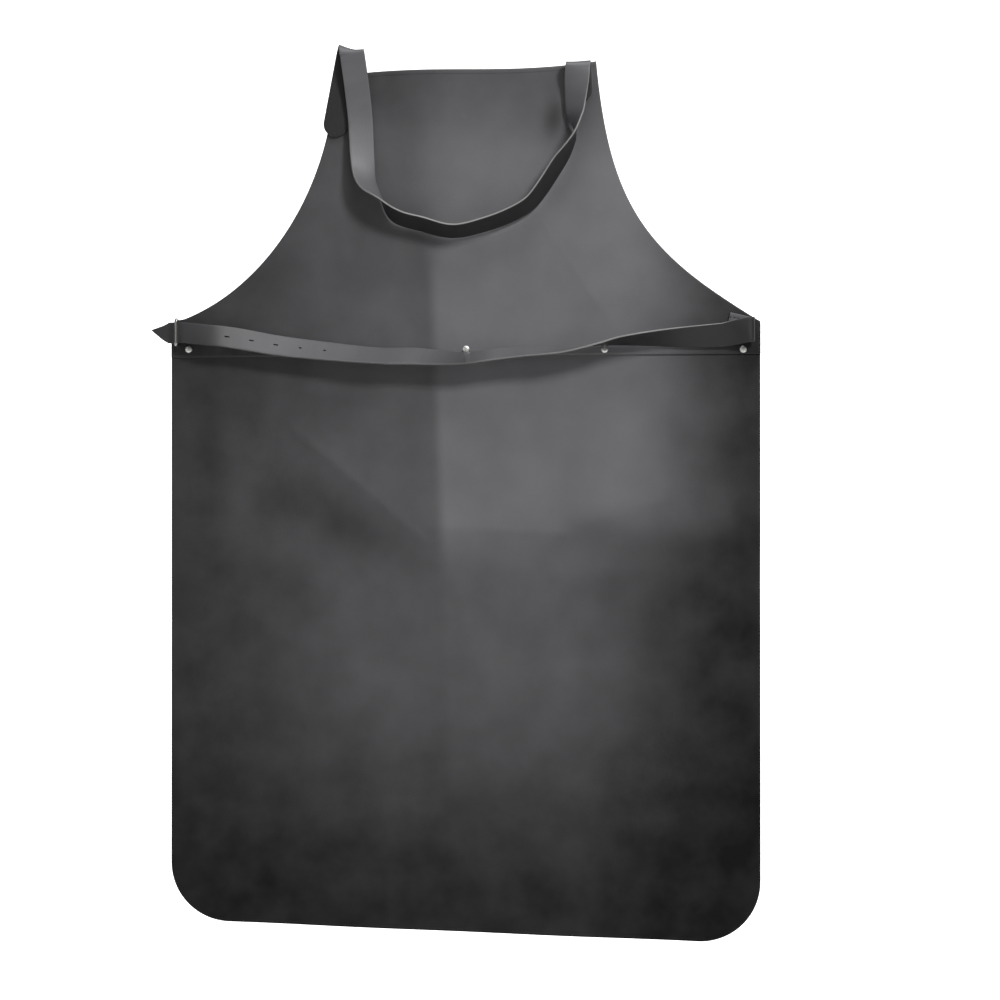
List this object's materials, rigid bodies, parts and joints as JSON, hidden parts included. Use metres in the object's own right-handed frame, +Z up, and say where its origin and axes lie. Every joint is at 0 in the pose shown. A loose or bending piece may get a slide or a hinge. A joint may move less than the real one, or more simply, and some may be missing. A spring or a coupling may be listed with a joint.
{
  "type": "bib apron",
  "caption": "Leather bib apron of two riveted panels, with a neck strap folded over the bib and a waist strap run through a wire loop.",
  "frame": {"origin": "middle of the bib's top edge, on the bib's back face", "axes": "+Z up the apron, +X to the viewer's right, +Y towards the wearer, so that the front faces -Y"},
  "size_m": [0.6255, 0.0339, 0.9218],
  "materials": {
    "panel_leather": "smooth satin black",
    "strap_leather": "smooth satin charcoal, raw cut edges",
    "rivet_nickel": "bright nickel plate",
    "loop_steel": "drawn steel wire"
  },
  "bodies": {
    "apron": {"rivet_cap_1": "rivet_nickel", "rivet_post_1": "rivet_nickel", "rivet_cap_2": "rivet_nickel", "rivet_post_2": "rivet_nickel", "rivet_cap_3": "rivet_nickel", "rivet_post_3": "rivet_nickel", "rivet_cap_4": "rivet_nickel", "rivet_post_4": "rivet_nickel", "rivet_cap_5": "rivet_nickel", "rivet_post_5": "rivet_nickel", "bib_panel": "panel_leather", "skirt_panel": "panel_leather", "neck_strap_left_end": "strap_leather", "neck_strap_right_end": "strap_leather", "neck_strap_left_fold": "strap_leather", "neck_strap_right_fold": "strap_leather", "waist_strap_right_end": "strap_leather", "waist_strap_punched_end": "strap_leather", "belt_loop_tab": "strap_leather"},
    "neck_loop": {"neck_strap_loop": "strap_leather"},
    "waist_span": {"waist_strap_span": "strap_leather"},
    "wire_loop": {"belt_loop": "loop_steel"}
  },
  "joints": [
    {"name": "neck_loop_swing", "type": "hinge", "parent": "apron", "child": "neck_loop", "pos_m": [-0.1184, -0.0084, 0.02157], "axis": [-0.9985, 0, 0.0552], "range_deg": [0, 180], "deforming": ["neck_strap_left_fold", "neck_strap_right_fold"]},
    {"name": "waist_span_lift", "type": "hinge", "parent": "apron", "child": "waist_span", "pos_m": [0, -0.0029, -0.262], "axis": [-1, 0, 0], "range_deg": [0, 90]},
    {"name": "wire_loop_swivel", "type": "hinge", "parent": "apron", "child": "wire_loop", "pos_m": [-0.296, -0.00495, -0.272], "axis": [0, 0, -1], "range_deg": [-20, 40]}
  ]
}
